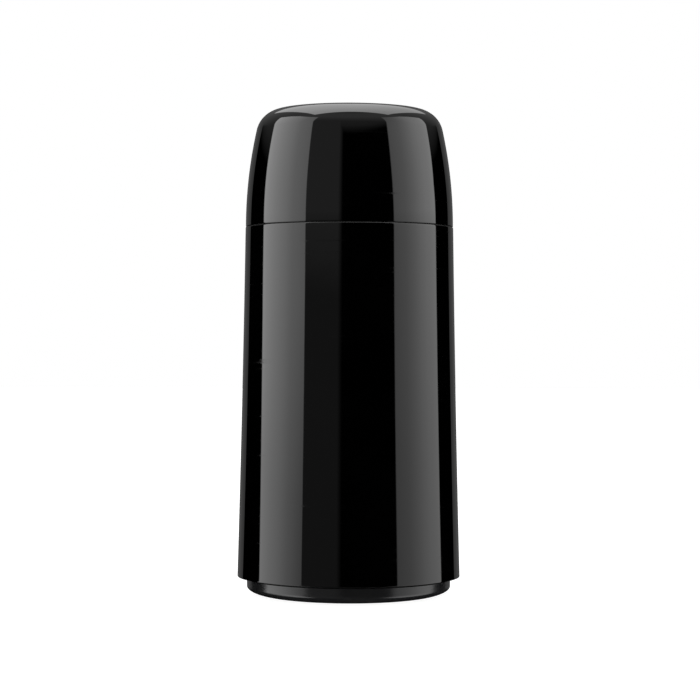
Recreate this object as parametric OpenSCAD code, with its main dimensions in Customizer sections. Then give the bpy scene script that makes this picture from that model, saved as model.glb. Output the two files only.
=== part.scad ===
// Glass-lined table flask with a screw-on cup lid, a screw stopper and a screw-on base cap.
// Millimetres, +Z up, origin at the centre of the standing face.

/* [Overall] */
// Height of the closed flask, from the standing face to the crown
total_h = 248; // [206:1:298]
// Height of the cup lid above the parting line
cup_h = 61.6; // [52:0.2:75]
// Height of the base cap that shows under the shell
base_h = 9.8; // [7.5:0.1:11]
// Diameter of the shell at its bottom edge
shell_bottom_d = 112.6; // [93:0.2:136]
// Diameter of the shell at its top edge
shell_top_d = 105.2; // [87:0.2:126]

/* [Outer shell] */
// Wall of the outer shell
shell_wall = 2.4; // [2:0.1:3]
// Inward bow of the shell's side at half height
shell_bow = 0.3; // [0:0.05:1]
// Rounding of the shell's bottom edge
bottom_edge_r = 0.3; // [0.3:0.1:1]
// Rounding of the shell's top edge
top_edge_r = 0.5; // [0.2:0.1:0.5]
// Height of the spigot that the cup screws onto
spigot_h = 13; // [11:1:15]
// Wall of the spigot
spigot_wall = 2.2; // [1.8:0.1:2.8]
// Thickness of the shoulder and of the in-turned bottom ring
shoulder_t = 2.8; // [2:0.1:4]
// Height of the threaded collar inside the shell's bottom
base_collar_h = 15; // [13:1:20]
// Space between the shell's wall and that collar
base_collar_inset = 3; // [2:0.5:4]

/* [Cup lid] */
// Wall of the cup
cup_wall = 2; // [1.8:0.1:2.4]
// How far the cup's rim stands in from the shell's top edge
cup_step = 0.1; // [0:0.1:0.5]
// Radius of the cup's barrel side
cup_side_r = 225; // [190:5:300]
// Radius of the cup's shoulder
cup_shoulder_r = 13.2; // [8:0.2:15]
// Radius of the cup's crown
cup_crown_r = 300; // [230:2:400]
// Gap between the cup's rim and the shell's top edge
rim_gap = 0.3; // [0.3:0.1:0.8]

/* [Base cap] */
// How far the base cap stands in from the shell's bottom edge
base_step = 4.8; // [4:0.2:6]
// Width of the rolled-under edge
roll_w = 15.9; // [10:0.1:17]
// Height of the rolled-under edge
roll_h = 5; // [3:0.5:6]
// Width of the standing face
foot_w = 3.4; // [3:0.2:6]
// Depth of the recess inside the standing face
recess_d = 2; // [1.5:0.5:2.5]
// Thickness of the base cap's floor
floor_t = 2.2; // [1.8:0.2:3]
// Gap between the base cap and the shell's bottom edge
base_gap = 1.1; // [0.4:0.1:1.5]
// Height of the base cap's threaded spigot above the shell's bottom edge
base_spigot_h = 13; // [12:1:15]

/* [Glass refill] */
// Radius of the bottle's mouth
mouth_r = 18; // [15:0.5:20]
// Thickness of the glass
glass_t = 1.6; // [1.2:0.1:2]
// Vacuum gap between the two bottles
vacuum_gap = 2.8; // [2:0.1:4]
// Height of the glass above the standing face
refill_z = 19; // [18:1:24]
// Radius of the bottle's bottom corner
corner_r = 26; // [20:1:30]
// Radius of the bottle's bottom dome
dome_r = 60; // [55:1:90]
// Radius of the hollow between neck and shoulder
neck_fillet_r = 10; // [6:1:11]
// Slope where the hollow and the shoulder meet, in degrees
neck_slope = 70; // [60:1:75]
// How far the glass lip stands above the parting line
lip_rise = 2; // [0:0.5:3]

/* [Neck collar and stopper] */
// Wall of the neck collar
collar_wall = 2.2; // [1.8:0.1:2.8]
// Height of the pouring tube above the collar's web
tube_h = 15; // [13:1:17]
// Thickness of the seat under the stopper seal
seat_t = 2; // [1.6:0.2:3]
// Thickness of the stopper seal
stopper_seal_t = 2.2; // [1.8:0.2:3]
// Length of the plug below the seal
plug_l = 20; // [14:1:22]
// Wall of the stopper's grip
grip_wall = 2.4; // [2:0.1:3]
// Height of the stopper's grip
grip_h = 26; // [24:1:28]
// Number of flutes around the grip
flute_count = 16; // [8:1:20]

/* [Threads] */
// Height of a thread ridge
thread_depth = 0.8; // [0.6:0.1:0.9]
// Clearance between facing thread crests
thread_clear = 0.1; // [0.05:0.05:0.1]
// Rise of a thread in one turn
thread_lead = 8; // [6:1:9]

/* [Hidden] */
$fn = 120;

fit_clear = 0.1;          // between pieces that are pressed or set into each other
loose_clear = 0.4;        // between pieces that only stand side by side
edge_steps = 3;           // straight steps in a small rounded edge
curve_steps = 8;          // straight steps in a large curve

// Outer shell
bottom_r = shell_bottom_d / 2;
top_r = shell_top_d / 2;
part_z = total_h - cup_h;
shell_h = part_z - base_h;
shoulder_z = part_z - shoulder_t;
base_ring_z = base_h + shoulder_t;

// Cup lid and its thread
cup_rim_r = top_r - cup_step;
rim_z = part_z + rim_gap;
cup_bore_r = cup_rim_r - cup_wall;
cup_side_c = [cup_rim_r - cup_side_r, rim_z];
cup_crown_c = [0, total_h - cup_crown_r];
cup_shoulder_c = meeting(cup_side_c, cup_side_r - cup_shoulder_r, cup_crown_c, cup_crown_r - cup_shoulder_r);
cup_side_end = heading(cup_side_c, cup_shoulder_c);
cup_crown_start = heading(cup_crown_c, cup_shoulder_c);
spigot_r = cup_bore_r - 2 * thread_depth - thread_clear;
spigot_in_r = spigot_r - spigot_wall;
spigot_z = part_z + spigot_h;
cup_thread_z = part_z + 6;
cup_thread_span = 100;

// Rim seal, in a groove of the shell's shoulder
seal_groove_d = 0.5;
seal_groove_z = part_z - seal_groove_d;
rim_seal_in_r = cup_bore_r + 0.3;
rim_seal_out_r = cup_rim_r - 0.8;

// Base cap and its thread
base_r = bottom_r - base_step;
base_bore_r = bottom_r - shell_wall - base_collar_inset - spigot_wall;
base_spigot_r = base_bore_r - 2 * thread_depth - thread_clear;
base_spigot_in_r = base_spigot_r - spigot_wall;
base_flange_z = base_h - base_gap;
base_floor_z = recess_d + floor_t;
base_gasket_t = base_gap + 0.3;
base_gasket_z = base_h - base_gasket_t;
base_gasket_in_r = base_spigot_r + 0.3;
base_gasket_out_r = base_bore_r + 1.6;
stand_r = base_r - roll_w;
stand_in_r = stand_r - foot_w;
grip_bar_w = 7;
grip_bar_d = 1.4;
base_thread_z = base_h + 7;
base_thread_span = 80;

// Glass refill: the smaller of what passes the base and what clears the shell's top
refill_r = min(base_bore_r - thread_depth - 2.7, top_r - shell_wall - 5);
inner_inset = glass_t + vacuum_gap;
neck_r = mouth_r + glass_t + inner_inset;
lip_r = (neck_r - mouth_r) / 2;
lip_z = part_z + lip_rise;
neck_top_z = lip_z - lip_r;
neck_fillet_z = neck_top_z - 9;
slope_sum = (refill_r - neck_r) / (1 - cos(neck_slope));
refill_shoulder_r = slope_sum - neck_fillet_r;
refill_shoulder_z = neck_fillet_z - slope_sum * sin(neck_slope);
dome_drop = sqrt(pow(dome_r - corner_r, 2) - pow(refill_r - corner_r, 2));
dome_c = [0, refill_z + dome_r];
corner_c = [refill_r - corner_r, dome_c[1] - dome_drop];
corner_end = -atan2(dome_drop, refill_r - corner_r);
tip_r = 4;
tip_end_r = 2.5;
tip_h = 7;
tip_cap_wall = 1.5;
pad_h = 14;
pad_span = 24;
pad_z = refill_z + 50;

// Cushions around the glass
cradle_t = 2;
cradle_r = base_spigot_in_r - 2.6;
cradle_top_z = base_floor_z + 12;
support_r = refill_r * 0.64;
support_w = 4;
cushion_w = 9;
cushion_h = 15;
side_cushion_z = refill_z + 36;
side_cushion_h = 16;
neck_cushion_h = 28;

// Neck collar
web_z = lip_z + 2;
seat_z = web_z + seat_t;
tube_bore_r = mouth_r + 2.6;
tube_r = tube_bore_r + 2.6;
tube_z = web_z + collar_wall + tube_h;
collar_skirt_r = spigot_in_r - fit_clear / 2;
collar_seal_t = 1;
collar_lip_z = spigot_z + collar_seal_t;
mouth_gasket_w = 2;

// Stopper
plug_r = mouth_r - 1.6;
stopper_r = tube_bore_r - 2 * thread_depth - thread_clear;
stopper_bore_r = plug_r - 2;
stopper_seal_z = seat_z + stopper_seal_t;
stopper_seal_r = tube_bore_r - thread_depth - 2 * thread_clear;
plug_z = seat_z - plug_l;
plug_floor_t = 2;
grip_z = seat_z + 4;
grip_top_z = grip_z + grip_h;
grip_top_t = 2;
grip_edge_r = 4;
grip_bore_r = tube_r + 1.4;
grip_r = grip_bore_r + grip_wall;
stopper_top_z = grip_top_z - grip_top_t;
socket_h = 9;
flute_r = 5;
flute_d = 0.9;
stopper_thread_z = seat_z + 8;
stopper_thread_span = 130;

// Direction of point b seen from point a, in degrees
function heading(a, b) = atan2(b[1] - a[1], b[0] - a[0]);

// The outer of the two points at distance ra from a and rb from b
function meeting(a, ra, b, rb) =
    let (d = norm(b - a), u = (b - a) / d, x = (ra * ra - rb * rb + d * d) / (2 * d))
    a + x * u + sqrt(ra * ra - x * x) * [-u[1], u[0]];

// Points along an arc about c, leaving out the first skip points
function arc(c, r, from, to, n, skip = 0) =
    [for (i = [skip : n]) let (a = from + (to - from) * i / n) [c[0] + r * cos(a), c[1] + r * sin(a)]];

// A list of points in the opposite order
function reversed(points) = [for (i = [len(points) - 1 : -1 : 0]) points[i]];

// Radius of the shell's outside at height z
function shell_r(z) =
    let (t = (z - base_h) / shell_h)
    bottom_r + (top_r - bottom_r) * t - 4 * shell_bow * t * (1 - t);

// The shell's side from height z0 to z1, moved inwards by inset
function shell_side(z0, z1, inset) =
    [for (i = [0 : curve_steps]) let (z = z0 + (z1 - z0) * i / curve_steps) [shell_r(z) - inset, z]];

// The cup from its rim to the crown's centre, moved inwards by inset
function cup_outline(inset) = concat(
    arc(cup_side_c, cup_side_r - inset, 0, cup_side_end, curve_steps),
    arc(cup_shoulder_c, cup_shoulder_r - inset, cup_side_end, cup_crown_start, curve_steps, 1),
    arc(cup_crown_c, cup_crown_r - inset, cup_crown_start, 90, curve_steps, 1)
);

// The refill from the top of its neck to the bottom's centre, moved inwards by inset
function refill_outline(inset) = concat(
    [[neck_r - inset, neck_top_z]],
    arc([neck_r + neck_fillet_r, neck_fillet_z], neck_fillet_r + inset, 180, 180 + neck_slope, curve_steps),
    arc([refill_r - refill_shoulder_r, refill_shoulder_z], refill_shoulder_r - inset, neck_slope, 0, curve_steps, 1),
    arc(corner_c, corner_r - inset, 0, corner_end, curve_steps),
    arc(dome_c, dome_r - inset, corner_end, -90, curve_steps, 1)
);

// Flat ring between two radii and two heights
module ring(r_in, r_out, z0, z1) {
    rotate_extrude()
        translate([r_in, z0])
            square([r_out - r_in, z1 - z0]);
}

// Thread ridges on a wall of radius r; side is 1 for an outside thread and -1 for an inside one
module thread(r, side, z, starts, span) {
    ridge_root = 2.6;
    ridge_crest = 1;
    sunk = 0.8;
    for (i = [0 : starts - 1])
        rotate([0, 0, i * 360 / starts])
            translate([0, 0, z])
                rotate([atan(thread_lead / (2 * PI * r)), 0, 0])
                    rotate([0, 0, -span / 2])
                        rotate_extrude(angle = span)
                            polygon([
                                [r - side * sunk, -ridge_root / 2],
                                [r + side * thread_depth, -ridge_crest / 2],
                                [r + side * thread_depth, ridge_crest / 2],
                                [r - side * sunk, ridge_root / 2]
                            ]);
}

// Long flaring shell with its shoulder, cup spigot and threaded bottom collar
module outer_shell() {
    color("#111113") {
        rotate_extrude()
            polygon(concat(
                [[base_bore_r, base_h]],
                arc([bottom_r - bottom_edge_r, base_h + bottom_edge_r], bottom_edge_r, -90, 0, edge_steps),
                shell_side(base_h + 2 * bottom_edge_r, part_z - 2 * top_edge_r, 0),
                arc([top_r - top_edge_r, part_z - top_edge_r], top_edge_r, 0, 90, edge_steps),
                [
                    [rim_seal_out_r + fit_clear, part_z],
                    [rim_seal_out_r + fit_clear, seal_groove_z],
                    [rim_seal_in_r - fit_clear, seal_groove_z],
                    [rim_seal_in_r - fit_clear, part_z],
                    [spigot_r, part_z],
                    [spigot_r, spigot_z],
                    [spigot_in_r, spigot_z],
                    [spigot_in_r, shoulder_z]
                ],
                reversed(shell_side(base_ring_z, shoulder_z, shell_wall)),
                [
                    [base_bore_r + spigot_wall, base_ring_z],
                    [base_bore_r + spigot_wall, base_h + base_collar_h],
                    [base_bore_r, base_h + base_collar_h]
                ]
            ));
        thread(spigot_r, 1, cup_thread_z, 3, cup_thread_span);
        thread(base_bore_r, -1, base_thread_z, 3, base_thread_span);
    }
}

// Collar pressed into the spigot, with the pouring tube that the stopper screws into
module neck_collar() {
    color("#1d1d20") {
        rotate_extrude()
            polygon([
                [mouth_r + fit_clear, web_z],
                [collar_skirt_r, web_z],
                [collar_skirt_r, collar_lip_z],
                [spigot_r, collar_lip_z],
                [spigot_r, collar_lip_z + collar_wall],
                [collar_skirt_r - collar_wall, collar_lip_z + collar_wall],
                [collar_skirt_r - collar_wall, web_z + collar_wall],
                [tube_r, web_z + collar_wall],
                [tube_r, tube_z],
                [tube_bore_r, tube_z],
                [tube_bore_r, seat_z],
                [mouth_r + fit_clear, seat_z]
            ]);
        thread(tube_bore_r, -1, stopper_thread_z, 2, stopper_thread_span);
    }
}

// Flat seal between the spigot's top and the collar's lip
module collar_seal() {
    color("#b9b9b6")
        ring(spigot_in_r + fit_clear, spigot_r - fit_clear, spigot_z, collar_lip_z);
}

// Gasket that caps the glass lip and meets the collar's web
module mouth_gasket() {
    color("#d8d8d4")
        rotate_extrude()
            difference() {
                translate([mouth_r + fit_clear, neck_top_z - lip_r])
                    square([neck_r - mouth_r + mouth_gasket_w, web_z - neck_top_z + lip_r]);
                translate([mouth_r, neck_top_z - 2 * lip_r])
                    square([neck_r - mouth_r + fit_clear, 2 * lip_r]);
                translate([mouth_r + lip_r, neck_top_z])
                    circle(lip_r + fit_clear);
            }
}

// Foam ring that centres the glass shoulder under the collar
module neck_cushion() {
    color("#55585c")
        rotate_extrude()
            difference() {
                translate([neck_r + mouth_gasket_w + 1, web_z - neck_cushion_h])
                    square([collar_skirt_r - neck_r - mouth_gasket_w - 3, neck_cushion_h]);
                polygon(concat([[0, neck_top_z]], refill_outline(-fit_clear)));
            }
}

// Outer bottle of the refill, with its evacuation tip
module glass_outer_bottle() {
    color("#c9ced2") {
        rotate_extrude()
            polygon(concat(refill_outline(0), reversed(refill_outline(glass_t))));
        translate([0, 0, refill_z - tip_h])
            cylinder(h = tip_h + glass_t / 2, r1 = tip_end_r, r2 = tip_r);
        translate([0, 0, refill_z - tip_h])
            sphere(tip_end_r);
    }
}

// Inner bottle of the refill, whose rolled lip closes the vacuum gap
module glass_inner_bottle() {
    color("#d5dade")
        rotate_extrude()
            polygon(concat(
                arc([mouth_r + lip_r, neck_top_z], lip_r, 180, 0, curve_steps),
                refill_outline(inner_inset),
                reversed([for (p = refill_outline(inner_inset + glass_t)) if (p[1] < neck_top_z) p])
            ));
}

// Three pads that hold the two bottles apart
module spacer_pads() {
    color("#b7a98c")
        for (i = [0 : 2])
            rotate([0, 0, i * 120 - pad_span / 2])
                rotate_extrude(angle = pad_span)
                    translate([refill_r - inner_inset + fit_clear / 2, pad_z])
                        square([vacuum_gap - fit_clear, pad_h]);
}

// Rubber boot over the evacuation tip
module tip_cap() {
    color("#2a2a2c")
        difference() {
            translate([0, 0, refill_z - tip_h - tip_end_r - tip_cap_wall])
                cylinder(h = tip_h + tip_end_r + tip_cap_wall - loose_clear, r = tip_r + 2 * tip_cap_wall);
            translate([0, 0, refill_z - tip_h])
                cylinder(h = tip_h + glass_t / 2, r1 = tip_end_r + fit_clear, r2 = tip_r + fit_clear);
            translate([0, 0, refill_z - tip_h])
                sphere(tip_end_r + fit_clear);
        }
}

// Foam ring between the bottle's side and the shell
module side_cushion() {
    z1 = side_cushion_z + side_cushion_h;
    color("#55585c")
        rotate_extrude()
            polygon([
                [refill_r + fit_clear, side_cushion_z],
                [shell_r(side_cushion_z) - shell_wall - loose_clear, side_cushion_z],
                [shell_r(z1) - shell_wall - loose_clear, z1],
                [refill_r + fit_clear, z1]
            ]);
}

// Soft ring that the glass stands on
module refill_cushion() {
    color("#d8d8d4")
        rotate_extrude()
            difference() {
                translate([support_r + support_w / 2 - cushion_w / 2, cradle_top_z])
                    square([cushion_w, cushion_h]);
                polygon(concat([[0, neck_top_z]], refill_outline(-fit_clear)));
            }
}

// Cradle that carries the soft ring on the base cap's floor
module refill_cradle() {
    color("#303236")
        rotate_extrude() {
            translate([tip_r + 2 * tip_cap_wall + 1, base_floor_z])
                square([cradle_r - tip_r - 2 * tip_cap_wall - 1, cradle_t]);
            translate([cradle_r - cradle_t, base_floor_z])
                square([cradle_t, 3 * cradle_t]);
            translate([support_r, base_floor_z])
                square([support_w, cradle_top_z - base_floor_z]);
        }
}

// Seal between the base cap and the shell's bottom ring
module base_gasket() {
    color("#161617")
        ring(base_gasket_in_r, base_gasket_out_r, base_gasket_z, base_h);
}

// Screw-on base cap with its rolled-under edge, recess and grip bar
module base_cap() {
    color("#1a1a1c") {
        rotate_extrude()
            polygon(concat(
                [[0, recess_d], [stand_in_r, recess_d], [stand_in_r, 0]],
                [for (i = [0 : curve_steps]) let (a = 90 * i / curve_steps)
                    [stand_r + roll_w * sin(a), roll_h - roll_h * cos(a)]],
                [
                    [base_r, base_flange_z],
                    [base_gasket_out_r + fit_clear, base_flange_z],
                    [base_gasket_out_r + fit_clear, base_gasket_z],
                    [base_spigot_r, base_gasket_z],
                    [base_spigot_r, base_h + base_spigot_h],
                    [base_spigot_in_r, base_h + base_spigot_h],
                    [base_spigot_in_r, base_floor_z],
                    [0, base_floor_z]
                ]
            ));
        thread(base_spigot_r, 1, base_thread_z, 3, base_thread_span);
        intersection() {
            translate([-stand_r, -grip_bar_w / 2, recess_d - grip_bar_d])
                cube([2 * stand_r, grip_bar_w, 2 * grip_bar_d]);
            cylinder(h = base_h, r = stand_in_r + foot_w / 2);
        }
    }
}

// Seal ring between the stopper's shoulder and the collar's seat
module stopper_seal() {
    color("#d8d8d4")
        ring(plug_r + fit_clear, stopper_seal_r, seat_z, stopper_seal_z);
}

// Hollow threaded plug of the stopper
module stopper_body() {
    color("#d9d8d2") {
        rotate_extrude()
            polygon(concat(
                [[0, plug_z]],
                arc([plug_r - plug_floor_t, plug_z + plug_floor_t], plug_floor_t, -90, 0, edge_steps),
                [
                    [plug_r, stopper_seal_z],
                    [stopper_r, stopper_seal_z],
                    [stopper_r, stopper_top_z],
                    [stopper_bore_r, stopper_top_z],
                    [stopper_bore_r, plug_z + plug_floor_t],
                    [0, plug_z + plug_floor_t]
                ]
            ));
        thread(stopper_r, 1, stopper_thread_z, 2, stopper_thread_span);
    }
}

// Insulating foam that fills the stopper
module stopper_foam() {
    color("#efece2")
        translate([0, 0, plug_z + plug_floor_t])
            cylinder(h = stopper_top_z - plug_z - plug_floor_t - fit_clear, r = stopper_bore_r - fit_clear);
}

// Fluted grip that closes the stopper and covers the pouring tube
module stopper_cap() {
    color("#18181a")
        difference() {
            rotate_extrude()
                polygon(concat(
                    [[grip_bore_r, grip_z], [grip_r, grip_z]],
                    arc([grip_r - grip_edge_r, grip_top_z - grip_edge_r], grip_edge_r, 0, 90, 2 * edge_steps),
                    [
                        [0, grip_top_z],
                        [0, stopper_top_z],
                        [stopper_r + fit_clear / 2, stopper_top_z],
                        [stopper_r + fit_clear / 2, stopper_top_z - socket_h],
                        [stopper_r + grip_top_t, stopper_top_z - socket_h],
                        [stopper_r + grip_top_t, stopper_top_z],
                        [grip_bore_r, stopper_top_z]
                    ]
                ));
            for (i = [0 : flute_count - 1])
                rotate([0, 0, i * 360 / flute_count])
                    translate([grip_r + flute_r - flute_d, 0, grip_z - 1])
                        cylinder(h = grip_h - grip_edge_r, r = flute_r, $fn = 48);
        }
}

// Thin seal between the cup's rim and the shell's shoulder
module rim_seal() {
    color("#0c0c0d")
        ring(rim_seal_in_r, rim_seal_out_r, seal_groove_z, rim_z);
}

// Domed lid that serves as the drinking cup
module cup_lid() {
    color("#111113") {
        rotate_extrude()
            polygon(concat(cup_outline(0), reversed(cup_outline(cup_wall))));
        thread(cup_bore_r, -1, cup_thread_z, 3, cup_thread_span);
    }
}

outer_shell();
neck_collar();
collar_seal();
mouth_gasket();
neck_cushion();
glass_outer_bottle();
glass_inner_bottle();
spacer_pads();
tip_cap();
side_cushion();
refill_cushion();
refill_cradle();
base_gasket();
base_cap();
stopper_seal();
stopper_body();
stopper_foam();
stopper_cap();
rim_seal();
cup_lid();
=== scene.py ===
"""A glass-lined table flask: gloss black shell and cup lid, satin base cap, and the stopper,
collar, seals and glass refill inside. Everything is in metres, around the flask's own axis."""

import math

import bmesh
import bpy
from mathutils import Matrix, Vector


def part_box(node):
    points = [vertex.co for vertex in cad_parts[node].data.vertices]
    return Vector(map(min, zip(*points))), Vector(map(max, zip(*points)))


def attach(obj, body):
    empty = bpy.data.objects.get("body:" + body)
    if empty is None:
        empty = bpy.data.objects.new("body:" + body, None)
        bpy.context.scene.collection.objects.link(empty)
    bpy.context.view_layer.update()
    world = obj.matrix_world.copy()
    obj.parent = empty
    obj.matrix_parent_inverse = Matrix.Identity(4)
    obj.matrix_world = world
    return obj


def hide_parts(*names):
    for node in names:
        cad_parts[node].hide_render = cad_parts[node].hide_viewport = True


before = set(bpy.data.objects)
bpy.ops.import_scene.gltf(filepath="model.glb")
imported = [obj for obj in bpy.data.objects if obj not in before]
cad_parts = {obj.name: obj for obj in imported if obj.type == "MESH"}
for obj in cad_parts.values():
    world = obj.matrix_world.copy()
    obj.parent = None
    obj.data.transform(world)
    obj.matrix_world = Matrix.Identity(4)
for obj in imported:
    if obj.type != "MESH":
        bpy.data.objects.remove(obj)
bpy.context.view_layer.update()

# ---------------------------------------------------------------- measures
shell_low, shell_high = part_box("outer_shell")
cup_low, cup_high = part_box("cup_lid")
base_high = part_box("base_cap")[1]
collar_low, collar_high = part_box("neck_collar")
grip_low, grip_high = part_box("stopper_cap")
plug_low, plug_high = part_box("stopper_body")
glass_low, glass_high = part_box("glass_outer_bottle")
lip_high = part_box("glass_inner_bottle")[1]
rim_seal_low, rim_seal_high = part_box("rim_seal")
stopper_seal_low, stopper_seal_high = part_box("stopper_seal")
base_gasket_low, base_gasket_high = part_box("base_gasket")
collar_seal_low, collar_seal_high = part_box("collar_seal")

ROUND_STEPS = 192         # steps in a full turn
THREAD_DEPTH = 0.0008
THREAD_CLEAR = 0.0001
THREAD_LEAD = 0.008

RIM_GAP = 0.0003          # between the cup's rim and the shell
RIM_STEP = 0.0001         # how far the cup's rim stands in from the shell
PART_Z = cup_low.z - RIM_GAP
SHELL_TOP_R = cup_high.x + RIM_STEP
SHELL_WALL = 0.0024
SHELL_BOW = 0.0003
TOP_EDGE_R = 0.0005
BOTTOM_EDGE_R = 0.0003
GROOVE_EDGE_R = 0.00015
SEAL_INSET = 0.0003       # between a seal ring and the wall it runs round
SHOULDER_T = 0.0028
SPIGOT_WALL = 0.0022

CUP_WALL = 0.002
CUP_SIDE_R = 0.225
CUP_SHOULDER_R = 0.0132
CUP_CROWN_R = 0.3
CUP_BORE_R = cup_high.x - CUP_WALL
SPIGOT_R = CUP_BORE_R - 2 * THREAD_DEPTH - THREAD_CLEAR
SPIGOT_IN_R = SPIGOT_R - SPIGOT_WALL
CUP_THREAD_Z = PART_Z + 0.006
CUP_STARTS, CUP_SWEEP = 3, 100          # ridges of a thread, and the degrees each one spans

BASE_INSET = 0.003
BASE_BORE_R = shell_high.x - SHELL_WALL - BASE_INSET - SPIGOT_WALL
BASE_COLLAR_TOP = shell_low.z + 0.015
BASE_SPIGOT_R = BASE_BORE_R - 2 * THREAD_DEPTH - THREAD_CLEAR
BASE_GAP = 0.0011         # between the shell's lower edge and the base
BASE_FLANGE_Z = shell_low.z - BASE_GAP
BASE_THREAD_Z = shell_low.z + 0.007
BASE_STARTS, BASE_SWEEP = 3, 80
ROLL_W, ROLL_H = 0.0159, 0.005
STAND_R = base_high.x - ROLL_W
FOOT_W = 0.0034
STAND_IN_R = STAND_R - FOOT_W
RECESS_D = 0.002
BASE_FLOOR_T = 0.0022
FLOOR_Z = RECESS_D + BASE_FLOOR_T
GRIP_BAR_W, GRIP_BAR_T, GRIP_BAR_Z = 0.007, 0.0024, 0.0018
GRIP_BAR_EDGE_R = 0.0009

GLASS_T = 0.0016
VACUUM_GAP = 0.0028
MOUTH_R = 0.018
LIP_R = 0.003
NECK_R = MOUTH_R + 2 * GLASS_T + VACUUM_GAP
NECK_TOP_Z = lip_high.z - LIP_R
NECK_FILLET_R = 0.01
NECK_SLOPE = math.radians(70)
CORNER_R = 0.026
DOME_R = 0.06
SHOULDER_DROP = 0.009     # from the glass lip's centre to where the neck starts to widen
REFILL_Z = 0.019
TIP_R, TIP_FOOT_R = 0.0025, 0.004

COLLAR_WALL = 0.0022
SEAT_W = 0.0026
TUBE_WALL = 0.0026
TUBE_H = 0.015
TUBE_BORE_R = MOUTH_R + SEAT_W
TUBE_R = TUBE_BORE_R + TUBE_WALL
WEB_Z = collar_low.z
SEAT_Z = stopper_seal_low.z
COLLAR_SKIRT_R = SPIGOT_IN_R - THREAD_CLEAR / 2
STOPPER_THREAD_Z = SEAT_Z + 0.008
STOPPER_STARTS, STOPPER_SWEEP = 2, 130

PLUG_CLEAR = 0.0016
PLUG_WALL = 0.002
PLUG_R = MOUTH_R - PLUG_CLEAR
STOPPER_R = TUBE_BORE_R - 2 * THREAD_DEPTH - THREAD_CLEAR
STOPPER_BORE_R = PLUG_R - PLUG_WALL
GRIP_R = grip_high.x
GRIP_CLEAR = 0.0014
GRIP_BORE_R = TUBE_R + GRIP_CLEAR
GRIP_TOP_R = 0.004
GRIP_BANDS = 12           # rings of points up the side of the grip
SOCKET_D = 0.009
FLUTES = 16
FLUTE_R, FLUTE_D = 0.005, 0.0009
FLUTE_STEPS = 20
FLUTE_TOP_GAP = 0.003     # between the grip's top and the end of the flutes
FLUTE_FADE = 0.004


# ---------------------------------------------------------------- drawing and turning
class Outline:
    """A half-section drawn from point to point in the XZ plane, and then turned about Z."""

    def __init__(self, x, z):
        self.bm = bmesh.new()
        self.first = self.last = self.bm.verts.new((x, 0, z))
        self.corners = []

    def line(self, x, z, round_by=0.0):
        """A straight stretch; round_by is the radius left at its far corner."""
        new = bmesh.ops.extrude_vert_indiv(self.bm, verts=[self.last])["verts"][0]
        new.co = (x, 0, z)
        self.last = new
        if round_by:
            self.corners.append((new, round_by))
        return self

    def turn(self, cx, cz, degrees, steps=8):
        """An arc about a centre, counter-clockwise with X to the right and Z up."""
        made = bmesh.ops.spin(self.bm, geom=[self.last], cent=(cx, 0, cz), axis=(0, -1, 0),
                              angle=math.radians(degrees), steps=steps)
        self.last = [g for g in made["geom_last"] if isinstance(g, bmesh.types.BMVert)][0]
        return self

    def bow(self, x, z, rise, steps=24, round_by=0.0):
        """A shallow arc to a point, standing rise to the left of the straight line."""
        start, end = self.last.co.copy(), Vector((x, 0, z))
        chord = end - start
        left = Vector((-chord.z, 0, chord.x)).normalized()
        radius = (chord.length_squared / 4 + rise * rise) / (2 * abs(rise))
        centre = (start + end) / 2 + left * (rise - math.copysign(radius, rise))
        swing = 2 * math.degrees(math.asin(chord.length / 2 / radius))
        self.turn(centre.x, centre.z, -math.copysign(swing, rise), steps)
        self.last.co = end
        if round_by:
            self.corners.append((self.last, round_by))
        return self

    def close(self, round_by=0.0):
        """A straight stretch back to the first point."""
        self.bm.edges.new((self.last, self.first))
        if round_by:
            self.corners.append((self.first, round_by))
        return self

    def revolve(self, steps=ROUND_STEPS):
        """Rounds the corners and turns the outline into a solid of revolution."""
        for vert, radius in self.corners:
            made = bmesh.ops.bevel(self.bm, geom=[vert], offset=radius, offset_type="OFFSET",
                                   segments=5, profile=0.5, affect="VERTICES",
                                   clamp_overlap=True, material=-1)
            # a short straight step beside the rounding keeps the long walls flat in the light
            rounded = set(made["verts"])
            for end in made["verts"]:
                for edge in end.link_edges:
                    if edge.other_vert(end) not in rounded and edge.calc_length() > 3 * radius:
                        bmesh.utils.edge_split(edge, end, radius / edge.calc_length())
        bmesh.ops.spin(self.bm, geom=self.bm.verts[:] + self.bm.edges[:], cent=(0, 0, 0),
                       axis=(0, 0, 1), angle=math.tau, steps=steps, use_merge=True)
        bmesh.ops.remove_doubles(self.bm, verts=self.bm.verts[:], dist=1e-6)
        bmesh.ops.recalc_face_normals(self.bm, faces=self.bm.faces[:])
        return self.bm


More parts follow.
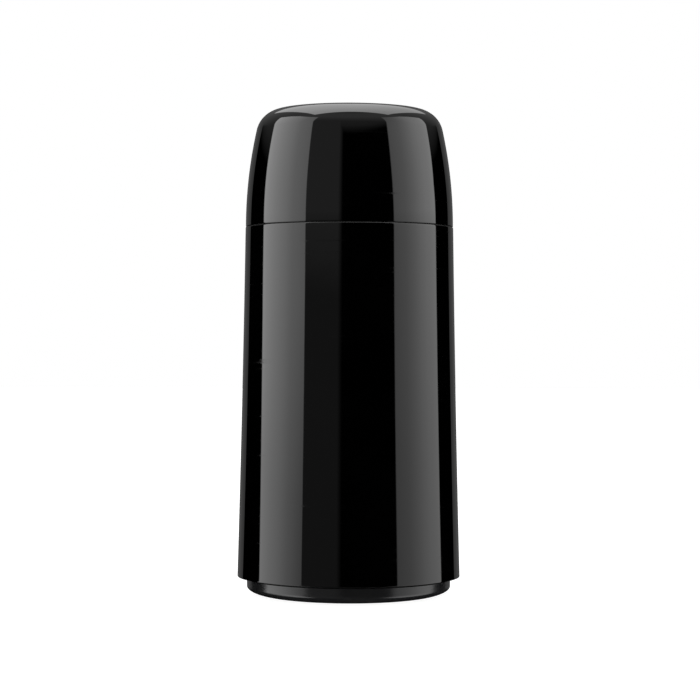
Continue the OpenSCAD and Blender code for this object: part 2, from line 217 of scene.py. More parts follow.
def thread(bm, r, side, z, starts, degrees):
    """Adds helical ridges to a wall of radius r: side is 1 on its outside and -1 on its inside."""
    steps = max(8, degrees // 3)
    rise = THREAD_LEAD * degrees / 360
    # how deep a ridge starts in its wall, and half its height at the root and at the crest
    sunk, root, crest = 0.0006, 0.0013, 0.0005
    for start in range(starts):
        turned = Matrix.Rotation(math.tau * start / starts - math.radians(degrees) / 2, 4, "Z")
        section = [(-side * sunk, -root), (side * THREAD_DEPTH, -crest),
                   (side * THREAD_DEPTH, crest), (-side * sunk, root)]
        foot = z - rise / 2
        ring = [bm.verts.new(turned @ Vector((r + out, 0, foot + up))) for out, up in section]
        near = bm.faces.new(ring)
        made = bmesh.ops.spin(bm, geom=[near] + near.edges[:], cent=(0, 0, 0), axis=(0, 0, 1),
                              angle=math.radians(degrees), steps=steps,
                              dvec=(0, 0, rise / steps))
        far = [g for g in made["geom_last"] if isinstance(g, bmesh.types.BMVert)]
        ends = [v for v in ring if v.is_valid] + far
        for v in ends:
            out = Vector((v.co.x, v.co.y)).length
            if (out - r) * side > 0:
                inward = (r - side * sunk / 2) / out
                v.co.x *= inward
                v.co.y *= inward
        ridge = {f for v in ends for f in v.link_faces}
        grown = set(ridge)
        while grown:
            grown = {g for f in grown for e in f.edges for g in e.link_faces} - ridge
            ridge |= grown
        bmesh.ops.recalc_face_normals(bm, faces=list(ridge))
    return bm


def piece(name, bm, body, material, sharp=35, replaces=()):
    """Makes an object of a finished mesh, rides it on its body and gives it its finish."""
    mesh = bpy.data.meshes.new(name)
    bm.to_mesh(mesh)
    bm.free()
    for polygon in mesh.polygons:
        polygon.use_smooth = True
    mesh.set_sharp_from_angle(angle=math.radians(sharp))
    made = bpy.data.objects.new(name, mesh)
    bpy.context.scene.collection.objects.link(made)
    mesh.materials.append(material)
    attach(made, body)
    if replaces:
        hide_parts(*replaces)
    return made


def ring(name, r_in, r_out, z0, z1, body, slot, material, round_by=0.0003):
    """A seal or gasket: a flat ring with rounded corners."""
    section = Outline(r_in, z0).line(r_out, z0, round_by).line(r_out, z1, round_by)
    section.line(r_in, z1, round_by).close(round_by)
    return piece(name, section.revolve(), body, material, replaces=(name,))


def touching(a, ra, b, rb):
    """The outer of the two points at distance ra from a and rb from b."""
    between = b - a
    d = between.length
    along = (ra * ra - rb * rb + d * d) / (2 * d)
    unit = between / d
    return a + along * unit + math.sqrt(ra * ra - along * along) * Vector((-unit.y, unit.x))


def heading(a, b):
    """Direction of b seen from a, in degrees."""
    return math.degrees(math.atan2(b.y - a.y, b.x - a.x))


# ---------------------------------------------------------------- node helpers
def node(tree, kind, inputs=None, **settings):
    """Adds a node, sets its properties, and sets or links its inputs."""
    made = tree.nodes.new(kind)
    for key, value in settings.items():
        setattr(made, key, value)
    for key, value in (inputs or {}).items():
        if isinstance(value, bpy.types.NodeSocket):
            tree.links.new(value, made.inputs[key])
        else:
            made.inputs[key].default_value = value
    return made


def maths(tree, operation, *values):
    """A Math node's result."""
    return node(tree, "ShaderNodeMath", dict(enumerate(values)), operation=operation).outputs[0]


def product(tree, *factors):
    """Several values multiplied together."""
    total = factors[0]
    for factor in factors[1:]:
        total = maths(tree, "MULTIPLY", total, factor)
    return total


def ranged(tree, value, low, high, to_low=0.0, to_high=1.0, smooth=False):
    """Value mapped from one range to another, and held within it."""
    kind = "SMOOTHSTEP" if smooth else "LINEAR"
    fields = {"Value": value, "From Min": low, "From Max": high,
              "To Min": to_low, "To Max": to_high}
    return node(tree, "ShaderNodeMapRange", fields, interpolation_type=kind).outputs[0]


def inverse(tree, value):
    """One less a value."""
    return maths(tree, "SUBTRACT", 1.0, value)


def place_of(tree):
    """Object coordinates."""
    return node(tree, "ShaderNodeTexCoord").outputs["Object"]


def noise(tree, where, scale, detail):
    """A noise texture's value."""
    fields = {"Vector": where, "Scale": scale, "Detail": detail}
    return node(tree, "ShaderNodeTexNoise", fields).outputs[0]


def preset(holder, **values):
    """Sets values on a node's own sockets, with _ for each space in a label."""
    for label, value in values.items():
        holder.inputs[label.replace("_", " ")].default_value = value


def wire(tree, holder, **sources):
    """Links sockets to a node's inputs, with _ for each space in a label."""
    for label, source in sources.items():
        tree.links.new(source, holder.inputs[label.replace("_", " ")])


def shader_group(name, inputs, outputs):
    """An empty shader node group with named sockets."""
    group = bpy.data.node_groups.new(name, "ShaderNodeTree")
    for label, value in inputs.items():
        socket = group.interface.new_socket(label, in_out="INPUT", socket_type="NodeSocketFloat")
        socket.default_value = value
    for label, kind in outputs.items():
        group.interface.new_socket(label, in_out="OUTPUT", socket_type=kind)
    return group, group.nodes.new("NodeGroupInput"), group.nodes.new("NodeGroupOutput")


def moulded_skin():
    """Moulded plastic or rubber: fine grain, broad ripple, and rubbed patches in the gloss."""
    tree, given, out = shader_group(
        "moulded_skin",
        {"Grain Size": 0.0004, "Grain": 0.3, "Ripple": 0.1, "Roughness": 0.4, "Spread": 0.05},
        {"Roughness": "NodeSocketFloat", "Height": "NodeSocketFloat", "Rubbed": "NodeSocketFloat"},
    )
    place = place_of(tree)
    scale = maths(tree, "DIVIDE", 1.0, given.outputs["Grain Size"])
    grain = noise(tree, place, scale, 2.0)
    ripple = noise(tree, place, 60.0, 1.0)
    cloud = noise(tree, place, 22.0, 4.0)
    rubbed = ranged(tree, cloud, 0.42, 0.7, smooth=True)
    lifted = maths(tree, "MULTIPLY", grain, given.outputs["Grain"])
    waved = maths(tree, "MULTIPLY", ripple, given.outputs["Ripple"])
    spread = maths(tree, "MULTIPLY", maths(tree, "SUBTRACT", rubbed, 0.4), given.outputs["Spread"])
    wire(tree, out, Roughness=maths(tree, "ADD", given.outputs["Roughness"], spread),
         Height=maths(tree, "ADD", lifted, waved), Rubbed=rubbed)
    return tree


def fine_scratches():
    """Hair-fine wiping marks that run round the flask, as a mask."""
    tree, given, out = shader_group(
        "fine_scratches", {"Amount": 0.5}, {"Mask": "NodeSocketFloat"}
    )
    place = place_of(tree)
    total = None
    for tilt, density in ((0.05, 900.0), (-0.09, 1300.0), (0.6, 700.0)):
        fields = {"Vector": place, "Rotation": (tilt, tilt * 0.7, 0.0),
                  "Scale": (9.0, 9.0, density)}
        turned = node(tree, "ShaderNodeMapping", fields).outputs[0]
        line = ranged(tree, noise(tree, turned, 1.0, 1.0), 0.69, 0.75)
        total = line if total is None else maths(tree, "MAXIMUM", total, line)
    where = ranged(tree, noise(tree, place, 34.0, 2.0), 0.45, 0.65, smooth=True)
    wire(tree, out, Mask=product(tree, total, where, given.outputs["Amount"]))
    return tree


def foam_cells():
    """Closed foam cells, as a height and a mask for the walls between them."""
    tree, given, out = shader_group(
        "foam_cells", {"Cell": 0.0012}, {"Height": "NodeSocketFloat", "Walls": "NodeSocketFloat"}
    )
    place = place_of(tree)
    scale = maths(tree, "DIVIDE", 1.0, given.outputs["Cell"])
    fields = {"Vector": place, "Scale": scale}
    cells = node(tree, "ShaderNodeTexVoronoi", fields).outputs["Distance"]
    wire(tree, out, Height=inverse(tree, cells),
         Walls=ranged(tree, cells, 0.35, 0.75, smooth=True))
    return tree


SKIN = moulded_skin()
SCRATCHES = fine_scratches()
CELLS = foam_cells()


def material(name):
    """A fresh material, its tree and its Principled BSDF."""
    made = bpy.data.materials.new(name)
    made.use_nodes = True
    return made, made.node_tree, made.node_tree.nodes["Principled BSDF"]


def grouped(tree, group, **values):
    """Places a shared group with its own values."""
    made = node(tree, "ShaderNodeGroup", node_tree=group)
    preset(made, **values)
    return made


def tinted(tree, mask, dark, pale):
    """A colour between two, by a mask."""
    fields = {0: mask, 6: (*dark, 1), 7: (*pale, 1)}
    return node(tree, "ShaderNodeMix", fields, data_type="RGBA").outputs[2]


def bump(tree, height, distance, strength=1.0):
    """A bumped normal from a height."""
    fields = {"Height": height, "Distance": distance, "Strength": strength}
    return node(tree, "ShaderNodeBump", fields).outputs[0]


def skinned(name, dark, pale, roughness, spread, grain_size, grain, ripple, depth, ior=1.5,
            marks=0.0):
    """A finish made of the shared skin; marks adds that much of the fine scratches."""
    made, tree, shader = material(name)
    skin = grouped(tree, SKIN, Grain_Size=grain_size, Grain=grain, Ripple=ripple,
                   Roughness=roughness, Spread=spread)
    rough = skin.outputs["Roughness"]
    if marks:
        scratched = grouped(tree, SCRATCHES, Amount=marks)
        rough = maths(tree, "ADD", rough, scratched.outputs["Mask"])
    wire(tree, shader, Base_Color=tinted(tree, skin.outputs["Rubbed"], dark, pale),
         Roughness=rough, Normal=bump(tree, skin.outputs["Height"], depth))
    preset(shader, IOR=ior)
    return made


def silvered_glass():
    """Silvered refill glass: bright mirror with a faint warm stain and drawn ripples."""
    made = skinned("silvered_glass", (0.86, 0.87, 0.88), (0.74, 0.72, 0.68),
                   roughness=0.06, spread=0.08, grain_size=0.004, grain=0.2, ripple=0.8,
                   depth=0.00008)
    preset(made.node_tree.nodes["Principled BSDF"],
           Metallic=1.0, Coat_Weight=1.0, Coat_Roughness=0.02)
    return made


def foam(name, dark, pale, cell):
    """Cellular foam."""
    made, tree, shader = material(name)
    cells = grouped(tree, CELLS, Cell=cell)
    wire(tree, shader, Base_Color=tinted(tree, cells.outputs["Walls"], pale, dark),
         Normal=bump(tree, cells.outputs["Height"], cell * 0.25))
    preset(shader, Roughness=0.85)
    return made


def silicone():
    """Milky silicone rubber with a soft glow."""
    made = skinned("clear_silicone", (0.62, 0.62, 0.6), (0.7, 0.7, 0.68),
                   roughness=0.42, spread=0.1, grain_size=0.0005, grain=0.4, ripple=0.3,
                   depth=0.00004, ior=1.41)
    preset(made.node_tree.nodes["Principled BSDF"],
           Subsurface_Weight=0.35, Subsurface_Scale=0.002)
    return made


def felt():
    """Pressed mineral fibre."""
    made, tree, shader = material("fibre_pad")
    place = place_of(tree)
    spun = node(tree, "ShaderNodeMapping", {"Vector": place, "Scale": (1.0, 1.0, 6.0)}).outputs[0]
    fibres = noise(tree, spun, 900.0, 5.0)
    wire(tree, shader, Base_Color=tinted(tree, fibres, (0.34, 0.28, 0.18), (0.55, 0.48, 0.34)),
         Normal=bump(tree, fibres, 0.0003))
    preset(shader, Roughness=0.95)
    return made


BLACK_GLOSS = skinned("gloss_black", (0.0001, 0.0001, 0.0001), (0.0003, 0.0003, 0.0003),
                      roughness=0.03, spread=0.025, grain_size=0.0006, grain=0.05, ripple=1.0,
                      depth=0.000012, marks=0.14)
BLACK_SATIN = skinned("satin_black", (0.009, 0.009, 0.0095), (0.0125, 0.0125, 0.013),
                      roughness=0.19, spread=0.04, grain_size=0.00035, grain=0.5, ripple=0.2,
                      depth=0.00003)
CHARCOAL = skinned("satin_charcoal", (0.02, 0.02, 0.022), (0.03, 0.03, 0.032),
                   roughness=0.38, spread=0.08, grain_size=0.0004, grain=0.5, ripple=0.2,
                   depth=0.00004)
WHITE = skinned("white_plastic", (0.68, 0.67, 0.62), (0.75, 0.74, 0.7),
                roughness=0.35, spread=0.08, grain_size=0.0005, grain=0.4, ripple=0.3,
                depth=0.00003)
RUBBER = skinned("black_rubber", (0.008, 0.008, 0.008), (0.014, 0.014, 0.014),
                 roughness=0.6, spread=0.1, grain_size=0.0003, grain=0.6, ripple=0.2,
                 depth=0.00005)
SILICONE = silicone()
SILVER = silvered_glass()
GREY_FOAM = foam("grey_foam", (0.05, 0.055, 0.06), (0.14, 0.15, 0.16), 0.0012)
WHITE_FOAM = foam("white_foam", (0.62, 0.6, 0.54), (0.86, 0.85, 0.8), 0.0025)
FELT = felt()


# ---------------------------------------------------------------- shell and cup
def outer_shell():
    """Flaring shell with its shoulder, cup spigot and threaded bottom collar."""
    low, high = shell_low.z, shell_high.z
    wide = shell_high.x
    groove_in, groove_out = rim_seal_low.z, rim_seal_high.x + THREAD_CLEAR
    seal_in = CUP_BORE_R + SEAL_INSET - THREAD_CLEAR
    ring_z = low + SHOULDER_T
    collar_r = BASE_BORE_R + SPIGOT_WALL
    section = Outline(BASE_BORE_R, low).line(wide, low, BOTTOM_EDGE_R)
    section.bow(SHELL_TOP_R, PART_Z, SHELL_BOW, 32, TOP_EDGE_R)
    section.line(groove_out, PART_Z, GROOVE_EDGE_R).line(groove_out, groove_in)
    section.line(seal_in, groove_in).line(seal_in, PART_Z, GROOVE_EDGE_R)
    section.line(SPIGOT_R, PART_Z, 0.0003).line(SPIGOT_R, high, 0.0004)
    section.line(SPIGOT_IN_R, high, 0.0004).line(SPIGOT_IN_R, PART_Z - SHOULDER_T, 0.0004)
    section.line(SHELL_TOP_R - SHELL_WALL, PART_Z - SHOULDER_T, 0.001)
    section.bow(wide - SHELL_WALL, ring_z, -SHELL_BOW, 16, 0.001)
    section.line(collar_r, ring_z, 0.0006).line(collar_r, BASE_COLLAR_TOP, 0.0005)
    section.line(BASE_BORE_R, BASE_COLLAR_TOP, 0.0005).close(0.0004)
    bm = section.revolve()
    thread(bm, SPIGOT_R, 1, CUP_THREAD_Z, CUP_STARTS, CUP_SWEEP)
    thread(bm, BASE_BORE_R, -1, BASE_THREAD_Z, BASE_STARTS, BASE_SWEEP)
    return piece("shell_of_flask", bm, "flask", BLACK_GLOSS,
                 replaces=("outer_shell",))


def cup_lid():
    """Domed lid and drinking cup: barrel side, tight shoulder and shallow crown."""
    rim, crown = cup_low.z, cup_high.z
    side_c = Vector((cup_high.x - CUP_SIDE_R, rim))
    crown_c = Vector((0, crown - CUP_CROWN_R))
    shoulder_c = touching(side_c, CUP_SIDE_R - CUP_SHOULDER_R,
                          crown_c, CUP_CROWN_R - CUP_SHOULDER_R)
    leaves_side = heading(side_c, shoulder_c)
    meets_crown = heading(crown_c, shoulder_c)
    section = Outline(cup_high.x, rim)
    section.turn(*side_c, leaves_side, 16).turn(*shoulder_c, meets_crown - leaves_side, 24)
    section.turn(*crown_c, 90 - meets_crown, 24).line(0, crown - CUP_WALL)
    section.turn(*crown_c, meets_crown - 90, 16).turn(*shoulder_c, leaves_side - meets_crown, 16)
    section.turn(*side_c, -leaves_side, 12)
    section.corners.append((section.last, 0.0004))
    section.close(0.00025)
    bm = section.revolve()
    thread(bm, CUP_BORE_R, -1, CUP_THREAD_Z, CUP_STARTS, CUP_SWEEP)
    return piece("cup_of_flask", bm, "cup_lid", BLACK_GLOSS, replaces=("cup_lid",))


# ---------------------------------------------------------------- base
def base_cap():
    """Screw-on base with its rolled-under edge, recess, grip bar and threaded spigot."""
    top = base_high.z
    gasket_z, gasket_r = base_gasket_low.z, base_gasket_high.x + THREAD_CLEAR
    inside = BASE_SPIGOT_R - SPIGOT_WALL
    section = Outline(0, RECESS_D).line(STAND_IN_R, RECESS_D, 0.0008).line(STAND_IN_R, 0, 0.0006)
    section.line(STAND_R, 0)
    # a quarter circle, stretched afterwards into the flat roll-under
    section.turn(STAND_R, ROLL_W, 90, 32)
    roll = [v for v in section.bm.verts if v.co.x >= STAND_R and v.co.z > 0]
    for vert in roll:
        vert.co.z *= ROLL_H / ROLL_W
    section.line(base_high.x, BASE_FLANGE_Z, 0.0003).line(gasket_r, BASE_FLANGE_Z, 0.0002)
    section.line(gasket_r, gasket_z).line(BASE_SPIGOT_R, gasket_z, 0.0002)
    section.line(BASE_SPIGOT_R, top, 0.0005)
    section.line(inside, top, 0.0005).line(inside, FLOOR_Z, 0.001).line(0, FLOOR_Z)
    bm = section.revolve()
    thread(bm, BASE_SPIGOT_R, 1, BASE_THREAD_Z, BASE_STARTS, BASE_SWEEP)
    bar_size = Matrix.Diagonal((2 * STAND_IN_R + 0.001, GRIP_BAR_W, GRIP_BAR_T, 1))
    bar = bmesh.ops.create_cube(bm, size=1, matrix=bar_size)
    bmesh.ops.translate(bm, verts=bar["verts"], vec=(0, 0, GRIP_BAR_Z))
    edges = list({e for v in bar["verts"] for e in v.link_edges if e.calc_length() > STAND_IN_R})
    bmesh.ops.bevel(bm, geom=edges, offset=GRIP_BAR_EDGE_R, segments=5, profile=0.5,
                    affect="EDGES", material=-1)
    return piece("base_of_flask", bm, "base_cap", BLACK_SATIN,
                 replaces=("base_cap",))


# ---------------------------------------------------------------- collar and stopper
def neck_collar():
    """Collar with the pouring tube, its seat and its inside thread."""
    tube_z = WEB_Z + COLLAR_WALL + TUBE_H
    lip_z = collar_high.z - COLLAR_WALL
    skirt_in = COLLAR_SKIRT_R - COLLAR_WALL
    mouth = MOUTH_R + THREAD_CLEAR
    section = Outline(mouth, WEB_Z).line(COLLAR_SKIRT_R, WEB_Z, 0.0006).line(COLLAR_SKIRT_R, lip_z)
    section.line(SPIGOT_R, lip_z, 0.0004).line(SPIGOT_R, collar_high.z, 0.0008)
    section.line(skirt_in, collar_high.z, 0.0008).line(skirt_in, WEB_Z + COLLAR_WALL, 0.002)
    section.line(TUBE_R, WEB_Z + COLLAR_WALL, 0.002).line(TUBE_R, tube_z, 0.0012)
    section.line(TUBE_BORE_R, tube_z, 0.0009).line(TUBE_BORE_R, SEAT_Z, 0.0003)
    section.line(mouth, SEAT_Z, 0.0004)
    bm = section.close(0.0004).revolve()
    thread(bm, TUBE_BORE_R, -1, STOPPER_THREAD_Z, STOPPER_STARTS, STOPPER_SWEEP)
    return piece("collar_of_neck", bm, "flask", CHARCOAL,
                 replaces=("neck_collar",))


def stopper_body():
    """Hollow plug with its outside thread."""
    low, high = plug_low.z, plug_high.z
    seal_z = stopper_seal_high.z
    section = Outline(0, low).line(PLUG_R, low, 0.002).line(PLUG_R, seal_z, 0.0003)
    section.line(STOPPER_R, seal_z, 0.0004).line(STOPPER_R, high, 0.0003)
    section.line(STOPPER_BORE_R, high, 0.0003).line(STOPPER_BORE_R, low + PLUG_WALL, 0.001)
    section.line(0, low + PLUG_WALL)
    bm = section.revolve()
    thread(bm, STOPPER_R, 1, STOPPER_THREAD_Z, STOPPER_STARTS, STOPPER_SWEEP)
    return piece("plug_of_stopper", bm, "stopper", WHITE,
                 replaces=("stopper_body",))


def stopper_cap():
    """Fluted grip that closes the plug and covers the pouring tube."""
    low, high = grip_low.z, grip_high.z
    ceiling = plug_high.z
    side_top = high - GRIP_TOP_R
    socket_in, socket_out = STOPPER_R + THREAD_CLEAR / 2, STOPPER_R + PLUG_WALL
    socket_z = ceiling - SOCKET_D
    section = Outline(GRIP_BORE_R, low).line(GRIP_R, low, 0.0006)
    for band in range(1, GRIP_BANDS):
        section.line(GRIP_R, low + (side_top - low) * band / GRIP_BANDS)
    section.line(GRIP_R, side_top).turn(GRIP_R - GRIP_TOP_R, side_top, 90, 12)
    section.line(0, high).line(0, ceiling)
    section.line(socket_in, ceiling).line(socket_in, socket_z, 0.0003)
    section.line(socket_out, socket_z, 0.0003).line(socket_out, ceiling, 0.0005)
    section.line(GRIP_BORE_R, ceiling, 0.0015).close(0.0006)
    bm = section.revolve(FLUTES * FLUTE_STEPS)
    half = math.sqrt(FLUTE_R ** 2 - (FLUTE_R - FLUTE_D) ** 2)
    for vert in bm.verts:
        r = Vector((vert.co.x, vert.co.y)).length
        if r < GRIP_BORE_R + 0.0006:       # the bore and the socket stay round
            continue
        angle = (math.atan2(vert.co.y, vert.co.x) * FLUTES / math.tau + 0.5) % 1 - 0.5
        across = angle * math.tau * GRIP_R / FLUTES
        if abs(across) > half:
            continue
        fade = min(1.0, max(0.0, (high - FLUTE_TOP_GAP - vert.co.z) / FLUTE_FADE))
        depth = math.sqrt(FLUTE_R ** 2 - across ** 2) - FLUTE_R + FLUTE_D
        depth *= fade * fade * (3 - 2 * fade)
        vert.co.x *= 1 - depth / r
        vert.co.y *= 1 - depth / r
    return piece("grip_of_stopper", bm, "stopper", BLACK_SATIN, sharp=30,
                 replaces=("stopper_cap",))


def mouth_gasket():
    """Gasket that caps the glass lip under the collar's web."""
    out, cuff_z = NECK_R + 0.002, NECK_TOP_Z - LIP_R
    inside, neck = MOUTH_R + THREAD_CLEAR, NECK_R + THREAD_CLEAR
    lift = 0.0014             # how far above the lip's centre the gasket starts to cap it
    start = math.degrees(math.asin(lift / (LIP_R + THREAD_CLEAR)))
    section = Outline(inside, WEB_Z).line(inside, NECK_TOP_Z + lift)
    section.turn(MOUTH_R + LIP_R, NECK_TOP_Z, start - 180, 16)
    section.line(neck, NECK_TOP_Z).line(neck, cuff_z, 0.0002)
    section.line(out, cuff_z, 0.0005).line(out, WEB_Z, 0.0005).close()
    bm = section.revolve()
    return piece("gasket_of_mouth", bm, "flask", SILICONE,
                 replaces=("mouth_gasket",))


# ---------------------------------------------------------------- glass
def refill_side(section, inset, upwards=False):
    """Draws one wall of the refill between its neck and the middle of its bottom."""
    refill_r = glass_high.x
    slopes = (refill_r - NECK_R) / (1 - math.cos(NECK_SLOPE))
    fillet_c = (NECK_R + NECK_FILLET_R, NECK_TOP_Z - SHOULDER_DROP)
    shoulder_r = slopes - NECK_FILLET_R
    shoulder_c = (refill_r - shoulder_r, fillet_c[1] - slopes * math.sin(NECK_SLOPE))
    drop = math.sqrt((DOME_R - CORNER_R) ** 2 - (refill_r - CORNER_R) ** 2)
    dome_c = (0, REFILL_Z + DOME_R)
    corner_c = (refill_r - CORNER_R, dome_c[1] - drop)
    corner_end = math.degrees(math.atan2(drop, refill_r - CORNER_R))
    slope = math.degrees(NECK_SLOPE)
    if upwards:
        section.turn(*dome_c, 90 - corner_end, 12).turn(*corner_c, corner_end, 12)
        section.line(refill_r - inset, shoulder_c[1]).turn(*shoulder_c, slope, 12)
        return section.turn(*fillet_c, -slope, 10)
    section.line(NECK_R - inset, fillet_c[1]).turn(*fillet_c, slope, 10)
    section.turn(*shoulder_c, -slope, 12).line(refill_r - inset, corner_c[1])
    return section.turn(*corner_c, -corner_end, 12).turn(*dome_c, corner_end - 90, 12)


def glass_bottles():
    """Outer bottle with its evacuation tip, and inner bottle with the rolled lip."""
    section = refill_side(Outline(NECK_R, NECK_TOP_Z), 0)
    section.line(0, REFILL_Z + GLASS_T)
    refill_side(section, GLASS_T, upwards=True).line(NECK_R - GLASS_T, NECK_TOP_Z).close()
    bm = section.revolve()
    tip = Outline(0, glass_low.z).turn(0, glass_low.z + TIP_R, 75, 8)
    tip.line(TIP_FOOT_R, REFILL_Z + GLASS_T / 2).line(0, REFILL_Z + GLASS_T / 2)
    drawn = bpy.data.meshes.new("tip")
    tip.revolve(48).to_mesh(drawn)
    bm.from_mesh(drawn)
    piece("outer_glass_of_refill", bm, "flask", SILVER, sharp=50,
          replaces=("glass_outer_bottle",))
    inset = GLASS_T + VACUUM_GAP
    section = Outline(MOUTH_R, NECK_TOP_Z).turn(MOUTH_R + LIP_R, NECK_TOP_Z, -180, 24)
    section.line(NECK_R - inset, NECK_TOP_Z)
    refill_side(section, inset).line(0, REFILL_Z + inset + GLASS_T)
    refill_side(section, inset + GLASS_T, upwards=True).close()
    piece("inner_glass_of_refill", section.revolve(), "flask", SILVER, sharp=50,
          replaces=("glass_inner_bottle",))


outer_shell()
cup_lid()
base_cap()
neck_collar()
stopper_body()
stopper_cap()
mouth_gasket()
glass_bottles()
ring("rim_seal", CUP_BORE_R + SEAL_INSET, rim_seal_high.x, rim_seal_low.z, rim_seal_high.z,
     "rim_seal", "black_rubber", RUBBER, 0.0002)
ring("stopper_seal", PLUG_R + THREAD_CLEAR, stopper_seal_high.x, stopper_seal_low.z,
     stopper_seal_high.z, "stopper_seal", "clear_silicone", SILICONE, 0.0006)
ring("collar_seal", SPIGOT_IN_R + THREAD_CLEAR, collar_seal_high.x, collar_seal_low.z,
     collar_seal_high.z, "flask", "clear_silicone", SILICONE)
ring("base_gasket", BASE_SPIGOT_R + SEAL_INSET, base_gasket_high.x, base_gasket_low.z,
     base_gasket_high.z, "flask", "black_rubber", RUBBER)

for kept, finish in {
    "neck_cushion": GREY_FOAM, "side_cushion": GREY_FOAM, "spacer_pads": FELT, "tip_cap": RUBBER,
    "refill_cushion": SILICONE, "refill_cradle": CHARCOAL, "stopper_foam": WHITE_FOAM,
}.items():
    for slot_of_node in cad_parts[kept].material_slots:
        slot_of_node.material = finish


# ---------------------------------------------------------------- studio
# angles are in degrees, azimuth round from the camera's side and elevation up from level
MATT_SHARE = 0.22         # how much of the lights a matt surface gets
MATT_AMBIENT = 0.16       # and what it gets from all round
FLOOR_R = 6


def levels(tree, value, *stops):
    """A level that runs straight from stop to stop, and holds beyond the first and the last."""
    total = stops[0][1]
    for (start, level), (end, next_level) in zip(stops, stops[1:]):
        total = maths(tree, "ADD", total, ranged(tree, value, start, end, 0.0, next_level - level))
    return total


def within(tree, value, low, high, blur):
    """1 where a value lies between two limits, softened over blur at each end."""
    return product(tree, levels(tree, value, (low - blur, 0), (low + blur, 1)),
                   levels(tree, value, (high - blur, 1), (high + blur, 0)))


def side_lights(tree, azimuth, elevation, behind):
    """Tall soft boxes to the left and right, brighter outwards and upwards."""
    leftward = levels(tree, azimuth, (-1, 1), (1, 0))
    left_edge = levels(tree, elevation, (-40, 118), (-12, 110), (-4, 104.5), (3, 109), (20, 111),
                       (36, 117))
    right_edge = levels(tree, elevation, (-40, 122), (-10, 111), (10, 110), (32, 118))
    inner_edge = levels(tree, elevation, (-55, 66), (-12, 47))
    top_edge = levels(tree, behind, (85, 47.3), (100, 44), (110, 40), (118, 36))
    reach = product(
        tree, ranged(tree, maths(tree, "SUBTRACT", behind, inner_edge), 0.0, 2.0),
        levels(tree, elevation, (-68, 0), (-60, 1)),
        ranged(tree, maths(tree, "SUBTRACT", top_edge, elevation), -0.5, 0.5),
    )
    low = levels(tree, elevation, (-4, 1), (3, 0))
    inner_dip = product(tree, low, levels(tree, azimuth, (-80, 0), (-62, 0.12), (-51, 0.36)))
    outer_dip = product(tree, levels(tree, elevation, (-30, 1), (-12, 0)),
                        levels(tree, azimuth, (-118, 0.6), (-88, 0)))
    left = product(
        tree, reach, leftward,
        inverse(tree, inner_dip), inverse(tree, outer_dip),
        ranged(tree, maths(tree, "SUBTRACT", left_edge, behind), -0.6, 0.6),
        levels(tree, azimuth, (-95, 3.42), (-85, 3.25), (-75, 2.95), (-65, 2.42),
               (-49.5, 2.05), (-48.5, 0)),
        levels(tree, elevation, (-4, 0.7), (-1.5, 0.73), (1, 0.87), (5, 0.98), (28, 1), (44, 0.9)),
    )
    leaned = maths(tree, "ADD", azimuth, levels(tree, elevation, (-3, 0), (1, 1), (20, 2)))
    right = product(
        tree, reach, ranged(tree, maths(tree, "SUBTRACT", right_edge, behind), -0.6, 0.6),
        levels(tree, leaned, (50.5, 0), (51.7, 1.33), (66, 1.6), (86, 2.38), (95, 2.53),
               (110, 2.33)),
        levels(tree, elevation, (-4, 0.64), (-1, 0.71), (4, 0.9), (6, 1), (26, 1.04), (44, 0.88)),
    )
    return maths(tree, "MAXIMUM", left, right)


def ceiling(tree, way, elevation, behind):
    """A large bright sheet overhead, and the dim ceiling round it."""
    x, y, z = way
    height = maths(tree, "MAXIMUM", z, 0.01)
    across, back = maths(tree, "DIVIDE", x, height), maths(tree, "DIVIDE", y, height)
    wide = maths(tree, "ABSOLUTE", across)
    flare = levels(tree, back, (0, 0), (1.5, 0.17))
    left_gap = maths(tree, "ADD", maths(tree, "ADD", across, flare), 0.61)
    right_gap = maths(tree, "SUBTRACT", maths(tree, "ADD", flare, 0.65), across)
    near_gap = maths(tree, "SUBTRACT", back, levels(tree, across, (-0.6, -0.275), (0.6, -0.2)))
    far_gap = maths(tree, "SUBTRACT", levels(tree, wide, (0, 1.2), (0.7, 1.6)), back)
    gaps = (left_gap, right_gap, near_gap, far_gap)
    sheet = product(
        tree, *(ranged(tree, gap, -0.015, 0.015) for gap in gaps),
        levels(tree, across, (0.05, 1), (0.5, 0.82)),
        levels(tree, back, (-0.24, 4.55), (0.2, 4.1), (0.55, 3), (0.8, 2.4), (1.6, 1.4)),
    )
    front = product(tree, levels(tree, behind, (80, 1), (100, 0)),
                    levels(tree, elevation, (27.5, 0), (30, 0.2), (34, 0.3), (50, 0.55), (64, 0.54),
                           (72, 0.4)))
    rear = product(tree, levels(tree, behind, (80, 0), (100, 1)),
                   levels(tree, elevation, (13, 0), (18, 0.15), (26, 0.22), (44, 0.37), (60, 0.48)))
    return maths(tree, "MAXIMUM", sheet, maths(tree, "ADD", front, rear))


def studio_glow(tree, way, azimuth, elevation):
    """Everything the gloss mirrors: side lights, a faint fill, a rim light and the ceiling."""
    behind = maths(tree, "ABSOLUTE", azimuth)
    fill = product(tree, levels(tree, azimuth, (-52, 0), (-50, 1), (-12.5, 1), (-7.5, 0)),
                   levels(tree, elevation, (-78, 0), (-72, 0.14), (3.3, 0.14), (4.3, 0.24),
                          (6, 0.29), (42, 0.29), (44, 0)))
    rim = product(tree, levels(tree, behind, (141, 0), (142, 0.15), (160, 0.15), (170, 0.1)),
                  within(tree, elevation, -10, 20, 2))
    total = side_lights(tree, azimuth, elevation, behind)
    for light in (fill, rim, ceiling(tree, way, elevation, behind)):
        total = maths(tree, "MAXIMUM", total, light)
    return total


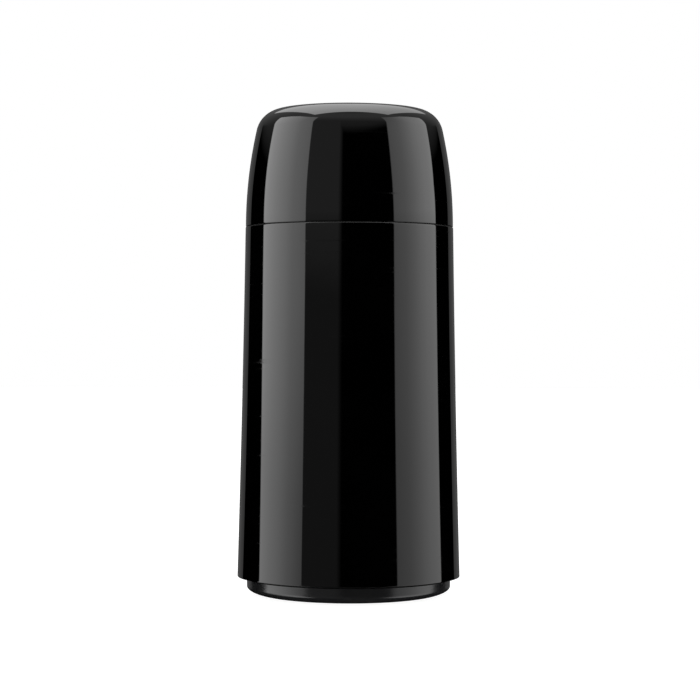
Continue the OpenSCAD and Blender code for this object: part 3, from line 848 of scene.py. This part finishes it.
def studio_sky():
    """White backdrop for the eye, and a dark room with soft lights for the reflections."""
    world = bpy.data.worlds.new("studio")
    world.use_nodes = True
    bpy.context.scene.world = world
    tree = world.node_tree
    tree.nodes.clear()
    way = node(tree, "ShaderNodeTexCoord").outputs["Generated"]
    x, y, z = parts = node(tree, "ShaderNodeSeparateXYZ", {0: way}).outputs[:3]
    azimuth = maths(tree, "DEGREES", maths(tree, "ARCTAN2", x, maths(tree, "MULTIPLY", y, -1.0)))
    elevation = maths(tree, "DEGREES", maths(tree, "ARCSINE", z))
    ray = node(tree, "ShaderNodeLightPath")
    # the lights show at full strength in the gloss, and far softer on matt surfaces
    mirrored = ray.outputs["Is Glossy Ray"]
    share = ranged(tree, mirrored, 0.0, 1.0, MATT_SHARE, 1.0)
    ambient = ranged(tree, mirrored, 0.0, 1.0, MATT_AMBIENT, 0.0)
    glow = studio_glow(tree, parts, azimuth, elevation)
    seen = maths(tree, "ADD", product(tree, glow, share), ambient)
    eye = ray.outputs["Is Camera Ray"]
    strength = maths(tree, "ADD", product(tree, seen, inverse(tree, eye)), eye)
    sky = node(tree, "ShaderNodeBackground", {"Color": (1, 1, 1, 1), "Strength": strength})
    out = node(tree, "ShaderNodeOutputWorld")
    tree.links.new(sky.outputs[0], out.inputs[0])


def floor():
    """Pale seamless floor that the gloss doesn't mirror."""
    bm = bmesh.new()
    bmesh.ops.create_circle(bm, cap_ends=True, segments=64, radius=FLOOR_R)
    mesh = bpy.data.meshes.new("studio_floor")
    bm.to_mesh(mesh)
    bm.free()
    made = bpy.data.objects.new("studio_floor", mesh)
    bpy.context.scene.collection.objects.link(made)
    finish, _, shader = material("pale_floor")
    preset(shader, Base_Color=(0.35, 0.35, 0.35, 1), Roughness=0.9,
           Emission_Color=(1, 1, 1, 1), Emission_Strength=0.95)
    mesh.materials.append(finish)
    made.visible_glossy = False


def overhead():
    """Broad light from above, for the floor and the paler pieces."""
    lamp = bpy.data.lights.new("overhead", "AREA")
    lamp.shape = "DISK"
    lamp.size = 2.4
    lamp.energy = 22
    made = bpy.data.objects.new("overhead", lamp)
    made.location = (0, 0, 2.2)
    made.visible_glossy = False
    bpy.context.scene.collection.objects.link(made)


def camera():
    """Level view from the front at half the flask's height."""
    lens = bpy.data.cameras.new("camera")
    lens.lens = 113.5
    lens.sensor_width = 36
    lens.clip_start, lens.clip_end = 0.05, 40
    made = bpy.data.objects.new("camera", lens)
    roll = Matrix.Rotation(math.radians(0.15), 4, "Z")
    facing = Matrix.Rotation(math.radians(90), 4, "X")
    made.matrix_world = Matrix.Translation((0.00046, -1.12, 0.1243)) @ facing @ roll
    bpy.context.scene.collection.objects.link(made)
    bpy.context.scene.camera = made


studio_sky()
floor()
overhead()
camera()
bpy.context.scene.view_settings.view_transform = "Standard"
